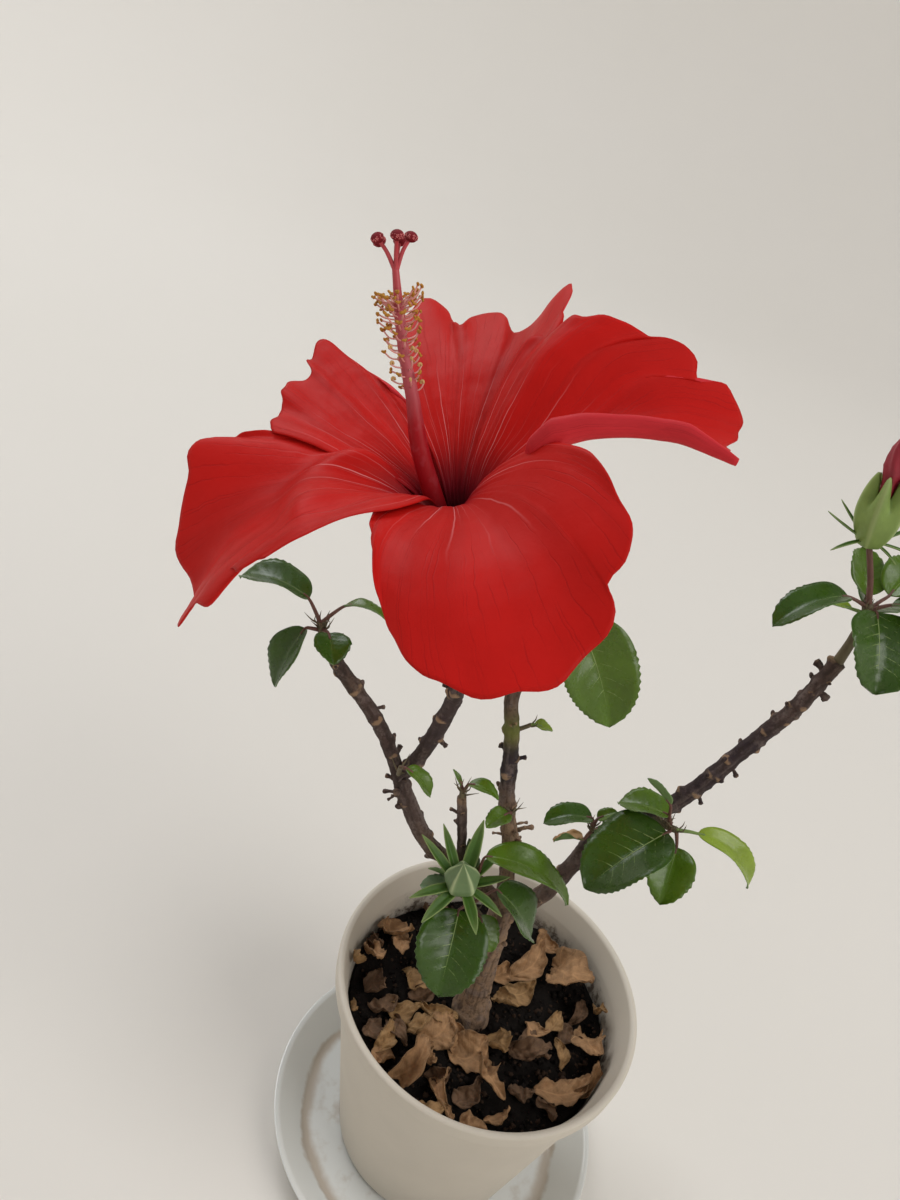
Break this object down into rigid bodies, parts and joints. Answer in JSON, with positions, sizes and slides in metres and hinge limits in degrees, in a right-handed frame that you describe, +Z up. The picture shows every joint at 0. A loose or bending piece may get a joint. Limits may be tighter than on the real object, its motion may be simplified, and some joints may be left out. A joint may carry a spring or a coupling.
{
  "type": "potted hibiscus shrub",
  "caption": "Potted hibiscus shrub with a short trunk, knobbly upright boughs, glossy toothed leaves, buds and an open red bloom, in a tapered pot on a saucer.",
  "frame": {"origin": "centre of the saucer's flat underside, where the potted plant stands", "axes": "+Z up along the pot's axis; +X towards the bud on the long right-hand bough; +Y away from the side that the open bloom faces"},
  "size_m": [0.2141, 0.1718, 0.3689],
  "materials": {
    "pot": "matte ivory, warm grey in shade, with soil stains inside",
    "saucer": "glossy cool white with a brown ring left by water",
    "soil": "damp crumbly potting soil, nearly black, strewn with curled dry leaves",
    "dry_leaf": "dry tan and brown leaves",
    "trunk_bark": "tan bark with fine cracks",
    "bark": "dark purplish brown bark with pale rough knots",
    "leaf": "glossy dark green, paler veins, yellow-green when young",
    "petal": "satin red with fine darker veins, pale veins towards a maroon throat",
    "column": "pinkish red with golden anthers",
    "stigma": "velvety dark red",
    "calyx": "soft pale green with ribs",
    "bud_petal": "rolled dark red petals"
  },
  "bodies": {
    "root": {"saucer": "saucer", "pot": "pot", "soil": "soil", "trunk": "trunk_bark", "centre_bough": "bark", "right_bough_lower": "bark", "right_bough_upper": "bark", "left_bough_lower": "bark", "left_bough_upper": "bark", "bloom_bough": "bark", "short_stub": "bark", "petal_front": "petal", "petal_right": "petal", "petal_back": "petal", "petal_back_left": "petal", "petal_left": "petal", "bloom_calyx": "calyx", "bloom_stalk": "calyx", "staminal_column": "column", "style_branches": "stigma", "right_bud_calyx": "calyx", "right_bud_petals": "bud_petal", "right_bud_stalk": "calyx", "low_bud": "calyx", "left_tip_leaves": "leaf", "left_fork_leaf": "leaf", "stub_leaves": "leaf", "centre_low_leaves": "leaf", "centre_high_leaf": "leaf", "centre_tip_leaves": "leaf", "bloom_shoot_leaves": "leaf", "low_cluster_leaves": "leaf", "right_low_leaves": "leaf", "right_mid_leaves": "leaf", "right_tip_leaves": "leaf"}
  },
  "joints": []
}
